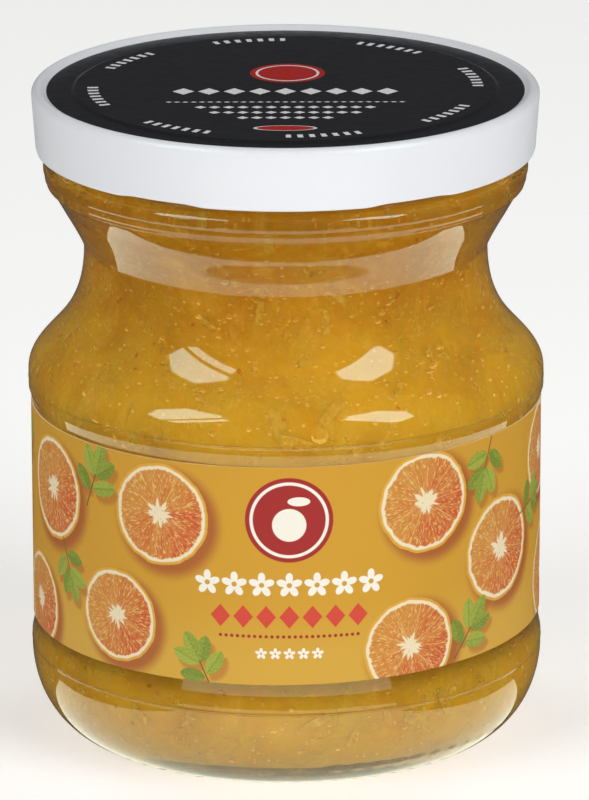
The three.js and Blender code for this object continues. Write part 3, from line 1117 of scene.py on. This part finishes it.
class MARMALADE_OT_wrap_label(JarOperator):
    """Wraps the paper label once round the jar and prints it"""

    bl_idname = "marmalade.wrap_label"
    bl_label = "Label"

    # Slices of fruit and sprigs of leaves, as places on the paper in millimetres: across from the front,
    # height, radius or length, and turn in radians
    SLICES = (
        (-20.5, 45.6, 8.3, 0.3), (-28.8, 27.6, 7.6, 1.1), (22.8, 47.2, 8.2, 2.0), (20.2, 24.0, 8.0, 0.8),
        (39.6, 36.0, 8.6, 1.6), (-45.5, 44.4, 8.4, 2.5), (-52.0, 24.0, 7.8, 0.1), (57.0, 47.5, 7.9, 1.2),
        (61.0, 26.0, 8.4, 0.5), (-69.0, 38.5, 8.3, 1.9), (80.0, 38.0, 8.5, 2.2), (-87.0, 47.5, 8.1, 0.9),
        (-90.0, 25.0, 7.9, 0.2), (99.0, 46.0, 8.0, 1.4), (103.0, 24.5, 8.2, 2.9), (-110.0, 38.0, 8.4, 1.7),
    )
    SPRIGS = (
        (-33.5, 49.0, 6.2, 1.2), (-13.5, 22.0, 5.6, 2.0), (35.5, 50.5, 6.0, -1.9), (31.8, 24.2, 6.0, 0.9),
        (-40.5, 32.5, 5.6, -1.2), (50.5, 40.5, 5.8, 0.2), (-60.5, 48.5, 6.0, 2.6), (-66.0, 25.5, 5.8, 1.4),
        (70.5, 49.5, 6.0, -1.6), (73.0, 24.0, 5.8, 1.8), (-79.0, 26.5, 5.8, 0.6), (90.5, 27.5, 6.0, 1.2),
        (-99.5, 50.0, 6.0, -0.9), (112.5, 36.0, 5.6, 0.4),
    )
    # Leaves of a sprig: where on the stalk it starts, turn from the stalk in radians, length and how dark
    LEAVES = (
        (-0.42, 1.05, 0.74, 0.85), (-0.34, -1.0, 0.8, 0.2), (0.0, 0.72, 0.82, 0.05), (0.02, -0.62, 0.78, 0.7),
        (0.16, 0.05, 0.8, 0.35),
    )

    def execute(self, context):
        settings = self.settings.label
        low, high = LABEL_RADIUS - LABEL_THICKNESS, LABEL_RADIUS
        heights = [LABEL_BOTTOM + (LABEL_TOP - LABEL_BOTTOM) * share / 8 for share in range(9)]
        profile = [(low, LABEL_BOTTOM)] + [(high, height) for height in heights] + [(low, LABEL_TOP)]
        profile += [(low, LABEL_BOTTOM)]
        angle = FULL_TURN + settings.lap
        steps = round(settings.sides * angle / FULL_TURN)
        label = turned("paper_label", profile, steps, angle)
        bpy.ops.object.mode_set(mode="OBJECT")
        self.shape_paper(label, len(profile), steps, angle)
        self.close_ends(label)
        label.data.materials.append(self.paper(settings))
        place_piece(label, ["label"])
        return {"FINISHED"}

    def shape_paper(self, label, points, steps, angle):
        """Turns the ends to the back, lifts the upper end, tilts the band a little and lays out the print"""
        settings = self.settings.label
        across = label.data.attributes.new("across", "FLOAT", "POINT")
        start = -angle / 2
        for index, vertex in enumerate(label.data.vertices):
            place = vertex.co
            turn = start + angle * (index // points) / steps
            radius = math.hypot(place.x, place.y)
            radius += settings.lap_raise * smooth((turn - (math.pi - settings.lap)) / (settings.lap * 0.5))
            height = place.z + settings.rise * math.sin(turn)
            vertex.co = (radius * math.sin(turn), -radius * math.cos(turn), height)
            across.data[index].value = turn * LABEL_RADIUS

    def close_ends(self, label):
        bpy.ops.object.mode_set(mode="EDIT")
        bpy.ops.mesh.select_all(action="SELECT")
        bpy.ops.mesh.remove_doubles(threshold=0.001 * MM)
        bpy.ops.mesh.select_all(action="DESELECT")
        bpy.ops.mesh.select_mode(type="EDGE")
        bpy.ops.mesh.select_non_manifold()
        bpy.ops.mesh.edge_face_add()
        bpy.ops.mesh.select_all(action="SELECT")
        bpy.ops.mesh.normals_make_consistent(inside=False)
        bpy.ops.object.mode_set(mode="OBJECT")
        bpy.ops.object.shade_smooth_by_angle(angle=math.radians(35))

    def paper(self, settings):
        """Coated paper printed with slices of fruit, leaves, a round badge and rows of ornament"""
        material, bench, output = new_material("label_print")
        across = bench.add("ShaderNodeAttribute", attribute_name="across").outputs["Fac"]
        place = bench.object_place()
        height = bench.over(bench.parts(place)[2], MM)
        sheet = bench.joined(across, height, 0.0)
        slice_local = self.nearest(bench, sheet, self.SLICES)
        shadow_place = bench.vector("ADD", sheet, (-1.1, 1.0, 0))
        slice_shadow = bench.vector(
            "LENGTH", bench.vector("MULTIPLY", self.nearest(bench, shadow_place, self.SLICES), (1, 1, 0)),
        )
        blotch = bench.noise(sheet, 0.05, 2)
        ground = bench.mix(bench.ramp(blotch, 0.3, 0.7, 0, 0.3), settings.ground, srgb(204, 146, 40))
        ground = bench.mix(bench.ramp(height, 34.0, 22.0, 0, 0.8), ground, srgb(208, 162, 54))
        ground = bench.mix(bench.ramp(slice_shadow, 1.22, 0.92, 0, 0.85), ground, settings.shadow)
        ground = self.printed_slice(bench, ground, slice_local, settings)
        sprig_shadow = self.nearest(bench, bench.vector("ADD", sheet, (-0.7, 1.0, 0)), self.SPRIGS)
        under_leaf = bench.ramp(self.sprig_cover(bench, sprig_shadow)[0], -0.12, 0.1, 0, 0.5)
        ground = bench.mix(under_leaf, ground, settings.shadow)
        ground = self.printed_sprig(bench, ground, self.nearest(bench, sheet, self.SPRIGS), settings)
        ground = self.front_block(bench, ground, sheet, settings)
        paper = bench.noise(place, 2200, 3, 0.6)
        edge = self.cut_edge(bench, place)
        colour = bench.mix(edge, ground, srgb(240, 226, 196))
        body = bench.add(
            "ShaderNodeBsdfPrincipled",
            {
                "Base Color": colour,
                "Roughness": bench.ramp(paper, 0.3, 0.7, 0.42, 0.52),
                "Normal": bench.bump(paper, 0.15, 0.03 * MM),
            },
        )
        surface(bench, output, body.outputs[0])
        return material

    def cut_edge(self, bench, place):
        """White of the paper's thickness, where it was cut at the top and the bottom"""
        normal = bench.add("ShaderNodeNewGeometry").outputs["True Normal"]
        return bench.ramp(bench.size(bench.parts(normal)[2]), 0.5, 0.7)

    def nearest(self, bench, sheet, places):
        """Place within the nearest motif, as a share of its size, with its turn as the third part"""
        best = None
        for across, height, size, turn in places:
            local = bench.vector("SCALE", bench.vector("SUBTRACT", sheet, (across, height, 0.0)), 1 / size)
            local = bench.vector("ADD", local, (0, 0, turn))
            away = bench.length(bench.vector("MULTIPLY", local, (1, 1, 0)))
            if best is None:
                best, best_away = local, away
            else:
                closer = bench.math("LESS_THAN", away, best_away)
                best = bench.pick(closer, best, local)
                best_away = bench.math("MINIMUM", away, best_away)
        return best

    def sprig_cover(self, bench, local):
        """How deep a place lies inside a leaf of the sprig, below nought outside, and that leaf's marks"""
        x, y, turn = bench.parts(local)
        cosine = bench.math("COSINE", turn)
        sine = bench.math("SINE", turn)
        on_stalk = bench.plus(bench.times(x, cosine), bench.times(y, sine))
        off_stalk = bench.minus(bench.times(y, cosine), bench.times(x, sine))
        cover, marks = None, None
        for start, leaf_turn, length, dark in self.LEAVES:
            c, s = math.cos(leaf_turn) / length, math.sin(leaf_turn) / length
            from_start = bench.minus(on_stalk, start)
            along = bench.plus(bench.times(from_start, c), bench.times(off_stalk, s))
            side = bench.minus(bench.times(off_stalk, c), bench.times(from_start, s))
            along = bench.minus(along, 0.08)
            held = bench.plus(along, 0.0, clamp=True)
            tip = bench.math("POWER", bench.minus(1.0, held), 0.62)
            bulge = bench.times(bench.math("POWER", held, 0.6), tip)
            depth = bench.minus(bench.times(bulge, 0.64), bench.size(side))
            depth = bench.minus(depth, bench.size(bench.minus(along, held)))
            own_marks = bench.joined(along, side, dark)
            if cover is None:
                cover, marks = depth, own_marks
            else:
                above = bench.math("GREATER_THAN", depth, 0.0)
                marks = bench.pick(above, marks, own_marks)
                cover = bench.most(cover, depth)
        beside = bench.size(off_stalk)
        beyond = bench.minus(bench.size(bench.plus(on_stalk, 0.3)), 0.55)
        stalk = bench.minus(0.022, bench.most(beside, beyond))
        return cover, marks, stalk

    def printed_slice(self, bench, ground, local, settings):
        """A cut orange: red to yellow flesh full of radial glints, a ragged heart, pith and rind"""
        x, y, turn = bench.parts(local)
        flat = bench.joined(x, y, 0.0)
        length = bench.length(flat)
        ray = bench.add("ShaderNodeVectorMath", [flat], operation="NORMALIZE").outputs[0]
        seed = bench.times(turn, 7.0)
        round_rim = bench.vector("ADD", bench.vector("SCALE", ray, 2.5), bench.joined(0.0, 0.0, seed))
        rim_noise = bench.noise(round_rim, 1.2, 3)
        away = bench.plus(length, bench.line(rim_noise, 0.3, 0.7, -0.02, 0.02))

        def radial(count, along, scale, detail):
            """Noise drawn out along the rays of the slice"""
            place = bench.vector("SCALE", ray, count)
            lifted = bench.joined(0.0, 0.0, bench.plus(bench.times(length, along), seed))
            return bench.noise(bench.vector("ADD", place, lifted), scale, detail, 0.6)

        warmth = bench.minus(bench.times(x, 0.75), bench.times(y, 0.45))
        warmth = bench.plus(warmth, bench.ramp(radial(2.0, 1.0, 1.0, 2), 0.3, 0.7, -0.35, 0.35))
        flesh = bench.mix(bench.ramp(warmth, -0.55, 0.75), settings.flesh_pale, settings.flesh)
        pale = bench.ramp(radial(9.0, 5.0, 1.2, 3), 0.42, 0.66, 0, 0.6)
        flesh = bench.mix(pale, flesh, settings.flesh_pale)
        glints = bench.ramp(radial(15.0, 9.0, 1.2, 3), 0.5, 0.66, 0, 0.85)
        flesh = bench.mix(glints, flesh, settings.glint)
        dark = bench.ramp(radial(14.0, 4.0, 1.3, 2), 0.42, 0.3, 0, 0.45)
        flesh = bench.mix(dark, flesh, settings.shadow)
        membrane = self.membranes(bench, x, y, turn, length)
        membrane = bench.times(membrane, bench.ramp(radial(3.0, 4.0, 1.5, 2), 0.35, 0.6))
        flesh = bench.mix(membrane, flesh, settings.glint)
        spikes = bench.line(radial(2.3, 0.3, 1.3, 2), 0.35, 0.7, -0.06, 0.15)
        heart = bench.ramp(bench.minus(length, spikes), 0.21, 0.15)
        flesh = bench.mix(heart, flesh, settings.pith)
        specks = bench.times(heart, bench.ramp(bench.noise(local, 22, 2), 0.62, 0.7, 0, 0.5))
        flesh = bench.mix(specks, flesh, srgb(170, 150, 130))
        inner_rim = bench.plus(away, bench.line(radial(7.0, 0.5, 1.2, 2), 0.3, 0.7, -0.02, 0.02))
        flesh = bench.mix(bench.ramp(inner_rim, 0.855, 0.885), flesh, settings.pith)
        flesh = bench.mix(bench.ramp(away, 0.925, 0.955), flesh, settings.rind)
        return bench.mix(bench.ramp(away, 1.005, 0.985), ground, flesh)

    def membranes(self, bench, x, y, turn, length):
        """Thin walls between the segments"""
        angle = bench.plus(bench.math("ARCTAN2", y, x), turn)
        cell = bench.math("FRACT", bench.times(angle, 9 / FULL_TURN))
        part = bench.minus(0.5, bench.size(bench.minus(cell, 0.5)))
        return bench.ramp(bench.times(part, length), 0.018, 0.008, 0, 0.7)

    def printed_sprig(self, bench, ground, local, settings):
        """A few small leaves on a stalk, some dark and some lit"""
        cover, marks, stalk = self.sprig_cover(bench, local)
        ground = bench.mix(bench.ramp(stalk, -0.008, 0.008), ground, settings.stalk)
        along, side, dark = bench.parts(marks)
        grain = bench.noise(bench.vector("SCALE", local, 1.0), 14, 3, 0.6)
        dark = bench.plus(dark, bench.ramp(grain, 0.35, 0.65, -0.25, 0.25))
        dark = bench.plus(dark, bench.ramp(side, -0.03, 0.03, 0.16, -0.1))
        green = bench.mix(bench.line(dark, 0.0, 1.0), settings.leaf_pale, settings.leaf)
        slant = bench.minus(bench.times(along, 36.0), bench.times(bench.size(side), 44.0))
        veins = bench.ramp(bench.math("SINE", slant), 0.8, 1.0, 0, 0.25)
        green = bench.mix(veins, green, srgb(186, 198, 92))
        green = bench.mix(bench.ramp(bench.size(side), 0.03, 0.008, 0, 0.45), green, srgb(92, 108, 26))
        return bench.mix(bench.ramp(cover, -0.008, 0.012), ground, green)

    def front_block(self, bench, ground, sheet, settings):
        """Badge and ornaments in the middle of the front"""
        x, y, _ = bench.parts(sheet)
        x = bench.minus(x, 0.5)
        badge_place = bench.length(bench.joined(x, bench.minus(y, 46.2), 0.0))
        ground = bench.mix(bench.line(badge_place, 6.9, 6.8), ground, settings.badge)
        ring = bench.times(bench.line(badge_place, 6.2, 6.1), bench.line(badge_place, 5.6, 5.7))
        ground = bench.mix(ring, ground, settings.white)
        fruit = bench.length(bench.joined(x, bench.minus(y, 45.4), 0.0))
        ground = bench.mix(bench.line(fruit, 2.7, 2.6), ground, settings.white)
        stem_place = bench.joined(bench.minus(x, 1.5), bench.minus(y, 49.2), 0.0)
        stem = bench.length(bench.vector("DIVIDE", stem_place, (1.8, 0.75, 1)))
        ground = bench.mix(bench.line(stem, 1.0, 0.95), ground, settings.white)
        blossoms = self.row(bench, x, y, 35.6, 4.3, 15.05)
        petals = self.petals(bench, blossoms, 2.05)
        ground = bench.mix(petals, ground, settings.white)
        lozenges = self.row(bench, x, y, 30.4, 3.6, 12.6)
        lx, ly, _ = bench.parts(lozenges)
        shape = bench.plus(bench.over(bench.size(lx), 1.6), bench.over(bench.size(ly), 1.9))
        ground = bench.mix(bench.line(shape, 1.0, 0.95), ground, settings.accent)
        dots = self.row(bench, x, y, 27.2, 0.9, 11.25)
        ground = bench.mix(bench.ramp(bench.length(dots), 0.3, 0.24), ground, settings.badge)
        small = self.row(bench, x, y, 24.4, 2.2, 5.5)
        return bench.mix(self.petals(bench, small, 0.95), ground, settings.white)

    def row(self, bench, x, y, height, pitch, half_width):
        """Place within one mark of a row, far away outside the row"""
        across = bench.math("WRAP", x, -pitch / 2, pitch / 2)
        outside = bench.math("GREATER_THAN", bench.size(x), half_width)
        up = bench.plus(bench.minus(y, height), bench.times(outside, 99.0))
        return bench.joined(across, up, 0.0)

    def petals(self, bench, local, size):
        """A white blossom with five petals and an open middle"""
        x, y, _ = bench.parts(local)
        away = bench.length(local)
        angle = bench.math("ARCTAN2", x, y)
        wave = bench.size(bench.math("COSINE", bench.times(angle, 2.5)))
        rim = bench.times(bench.plus(bench.times(wave, 0.62), 0.38), size)
        outer = bench.line(bench.minus(away, rim), 0.04, -0.04)
        return bench.times(outer, bench.line(away, size * 0.18, size * 0.22))


class MARMALADE_OT_set_stage(JarOperator):
    """Sets the floor, the studio lights and the camera"""

    bl_idname = "marmalade.set_stage"
    bl_label = "Stage"

    # Lamps: name, turn from the front and height in degrees, distance and size in metres, and brightness
    # beside white
    LAMPS = (
        ("left_softbox", -49, 38, 0.9, 0.46, 0.52, 3.8),
        ("right_softbox", 47, 38, 0.9, 0.48, 0.54, 4.9),
        ("front_fill", 3, 6, 1.3, 1.1, 0.4, 2.1),
        ("back_left_fill", -140, 35, 1.3, 0.7, 0.7, 2.0),
        ("back_right_fill", 140, 35, 1.3, 0.7, 0.7, 2.0),
    )
    # Fronts of the softboxes, as shiny things mirror them: the same places, about the same sizes, brightness,
    # where a slanting bar crosses them and how bright the strip beyond it is
    FRONTS = (
        ("left_front", -50, 38.5, 0.9, 0.51, 0.53, 7.2, 0.02, 0.9),
        ("right_front", 46.5, 38, 0.9, 0.46, 0.52, 7.6, 0.16, 0.0),
    )

    # How the slanting bar leans, as a share across and a share up
    BAR_ACROSS = 0.84
    BAR_UP = 0.53
    # Height on the jar that the lamps face
    LIT_HEIGHT = 55 * MM

    def execute(self, context):
        stage = self.settings.stage
        self.lay_floor(stage)
        self.dim_room(stage)
        for lamp in self.LAMPS:
            self.hang_lamp(*lamp)
        for front in self.FRONTS:
            self.hang_front(*front)
        self.place_camera(stage)
        self.set_render()
        return {"FINISHED"}

    def lay_floor(self, stage):
        material, bench, output = new_material("pale_floor")
        place = bench.object_place()
        grain = bench.noise(place, 3, 4)
        colour = bench.mix(bench.ramp(grain, 0.3, 0.7, 0, 0.03), stage.floor_colour, (0.75, 0.75, 0.74, 1))
        body = bench.add(
            "ShaderNodeBsdfPrincipled",
            {"Base Color": colour, "Roughness": 0.8, "Specular IOR Level": 0.0},
        )
        glow = bench.add("ShaderNodeEmission", {"Color": (1, 1, 0.99, 1), "Strength": stage.floor_glow})
        lit = bench.add("ShaderNodeAddShader", [body.outputs[0], glow.outputs[0]])
        surface(bench, output, lit.outputs[0])
        half = stage.floor_size
        floor = self.sheet("floor", (0, 0, -0.1 * MM), (2 * half, 2 * half), material)
        floor.visible_glossy = False
        self.glow_table(stage)

    def glow_table(self, stage):
        """Bright table top that only the glass mirrors, where a jar on a low stand would mirror it"""
        material, bench, output = new_material("table_glow")
        place = bench.object_place()
        grain = bench.ramp(bench.noise(place, 6, 2), 0.3, 0.7, 0.94, 1.0)
        glow = bench.add("ShaderNodeEmission", {"Color": (0.96, 1, 0.82, 1)})
        bench.feed(glow.inputs["Strength"], bench.times(grain, stage.table_glow))
        surface(bench, output, glow.outputs[0])
        table = self.sheet("table_glow", (0, -0.15, -0.1), (0.53, 0.6), material)
        self.only_mirrored(table)

    def only_mirrored(self, piece):
        piece.visible_camera = False
        piece.visible_diffuse = False
        piece.visible_transmission = False
        piece.visible_shadow = False

    def hang_front(self, name, turn_deg, height_deg, distance, wide, tall, brightness, bar, beyond):
        """Eight-sided front cloth of a softbox with soft edges, crossed by a slanting bar"""
        material, bench, output = new_material(name)
        u, v, _ = bench.parts(bench.add("ShaderNodeTexCoord").outputs["UV"])
        across = bench.minus(u, 0.5)
        up = bench.minus(v, 0.5)
        wide_share = bench.size(across)
        tall_share = bench.size(up)
        corner = bench.over(bench.plus(wide_share, tall_share), 1.45)
        outline = bench.most(bench.most(wide_share, tall_share), corner)
        cloth = bench.ramp(outline, 0.5, 0.44)
        inward = self.BAR_ACROSS if turn_deg < 0 else -self.BAR_ACROSS
        slant = bench.minus(bench.times(across, inward), bench.times(up, self.BAR_UP))
        strip = bench.times(bench.ramp(slant, bar + 0.08, bar + 0.11), bench.ramp(slant, 0.3, 0.25))
        share = bench.plus(bench.ramp(slant, bar + 0.03, bar), bench.times(strip, beyond))
        glow = bench.add("ShaderNodeEmission", {"Color": self.settings.stage.front_colour})
        bench.feed(glow.inputs["Strength"], bench.times(bench.times(cloth, share), brightness))
        surface(bench, output, glow.outputs[0])
        place, turn = self.around(turn_deg, height_deg, distance)
        self.only_mirrored(self.sheet(name, place, (wide, tall), material, turn))

    def around(self, turn_deg, height_deg, distance):
        """A place round the jar and the turn that faces the jar from it"""
        turn = math.radians(turn_deg)
        height = math.radians(height_deg)
        level = math.cos(height)
        away = Vector((math.sin(turn) * level, -math.cos(turn) * level, math.sin(height)))
        return Vector((0, 0, self.LIT_HEIGHT)) + away * distance, away.to_track_quat("Z", "Y").to_euler()

    def sheet(self, name, place, size, material, turn=(0, 0, 0)):
        bpy.ops.object.select_all(action="DESELECT")
        bpy.ops.mesh.primitive_plane_add(size=1, location=place, rotation=turn)
        piece = bpy.context.active_object
        piece.name = name
        piece.scale = (size[0], size[1], 1)
        bpy.ops.object.transform_apply(location=True, rotation=True, scale=True)
        piece.data.materials.append(material)
        return piece

    def dim_room(self, stage):
        world = bpy.data.worlds.new("studio")
        bpy.context.scene.world = world
        world.use_nodes = True
        bench = Bench(world.node_tree)
        world.node_tree.nodes.clear()
        output = bench.add("ShaderNodeOutputWorld")
        path = bench.add("ShaderNodeLightPath")
        seen = bench.add("ShaderNodeBackground", [(0.86, 0.86, 0.86, 1), 1.0])
        lit = bench.add("ShaderNodeBackground", [(1, 1, 1, 1), stage.room_light])
        camera = path.outputs["Is Camera Ray"]
        mixed = bench.add("ShaderNodeMixShader", [camera, lit.outputs[0], seen.outputs[0]])
        surface(bench, output, mixed.outputs[0])

    def hang_lamp(self, name, turn_deg, height_deg, distance, wide, tall, brightness):
        lamp = bpy.data.lights.new(name, "AREA")
        lamp.shape = "RECTANGLE"
        lamp.size = wide
        lamp.size_y = tall
        lamp.energy = brightness * math.pi * wide * tall
        holder = bpy.data.objects.new(name, lamp)
        bpy.context.scene.collection.objects.link(holder)
        holder.location, holder.rotation_euler = self.around(turn_deg, height_deg, distance)
        holder.visible_glossy = False
        holder.visible_camera = False

    def place_camera(self, stage):
        elevation = stage.camera_elevation
        aim = Vector((stage.aim_side, 0, stage.aim_height))
        away = Vector((0, -math.cos(elevation), math.sin(elevation)))
        camera = bpy.data.cameras.new("camera")
        camera.lens = stage.lens
        camera.sensor_width = 36
        camera.clip_start = 0.05
        holder = bpy.data.objects.new("camera", camera)
        bpy.context.scene.collection.objects.link(holder)
        holder.location = aim + away * stage.camera_distance
        holder.rotation_euler = (math.pi / 2 - elevation, 0, 0)
        holder.rotation_euler.rotate_axis("Z", stage.camera_roll)
        bpy.context.scene.camera = holder

    def set_render(self):
        scene = bpy.context.scene
        scene.view_settings.view_transform = "Standard"
        scene.view_settings.look = "None"
        scene.cycles.use_denoising = True
        scene.cycles.max_bounces = 12
        scene.cycles.transmission_bounces = 10
        scene.cycles.transparent_max_bounces = 16
        scene.cycles.diffuse_bounces = 4
        scene.cycles.glossy_bounces = 4
        scene.cycles.caustics_refractive = True
        scene.cycles.sample_clamp_indirect = 4.0
        scene.cycles.blur_glossy = 0.5


class MARMALADE_PT_jar(bpy.types.Panel):
    bl_idname = "MARMALADE_PT_jar"
    bl_label = "Marmalade Jar"
    bl_space_type = "VIEW_3D"
    bl_region_type = "UI"
    bl_category = "Jar"

    def draw(self, context):
        settings = context.scene.marmalade_jar
        for group, operators in (
            (settings.glass, ("marmalade.blow_glass",)),
            (settings.jelly, ("marmalade.fill_jelly", "marmalade.sink_bubbles", "marmalade.sink_peel")),
            (settings.lid, ("marmalade.press_lid",)),
            (settings.label, ("marmalade.wrap_label",)),
            (settings.stage, ("marmalade.set_stage",)),
        ):
            box = self.layout.box()
            for name in group.bl_rna.properties.keys():
                if name not in ("rna_type", "name"):
                    box.prop(group, name)
            for operator in operators:
                box.operator(operator)


CLASSES = (
    GlassSettings,
    JellySettings,
    LidSettings,
    LabelSettings,
    StageSettings,
    MARMALADE_PG_jar,
    MARMALADE_OT_blow_glass,
    MARMALADE_OT_fill_jelly,
    MARMALADE_OT_sink_bubbles,
    MARMALADE_OT_sink_peel,
    MARMALADE_OT_press_lid,
    MARMALADE_OT_wrap_label,
    MARMALADE_OT_set_stage,
    MARMALADE_PT_jar,
)


def register():
    for item in CLASSES:
        bpy.utils.register_class(item)
    bpy.types.Scene.marmalade_jar = bpy.props.PointerProperty(type=MARMALADE_PG_jar)


def unregister():
    del bpy.types.Scene.marmalade_jar
    for item in reversed(CLASSES):
        bpy.utils.unregister_class(item)


def corners(box):
    return [[round(part, 6) for part in corner] for corner in box]


def main():
    register()
    bpy.ops.marmalade.blow_glass()
    bpy.ops.marmalade.fill_jelly()
    bpy.ops.marmalade.sink_bubbles()
    bpy.ops.marmalade.sink_peel()
    bpy.ops.marmalade.press_lid()
    bpy.ops.marmalade.wrap_label()
    bpy.ops.marmalade.set_stage()


if __name__ == "__main__":
    main()
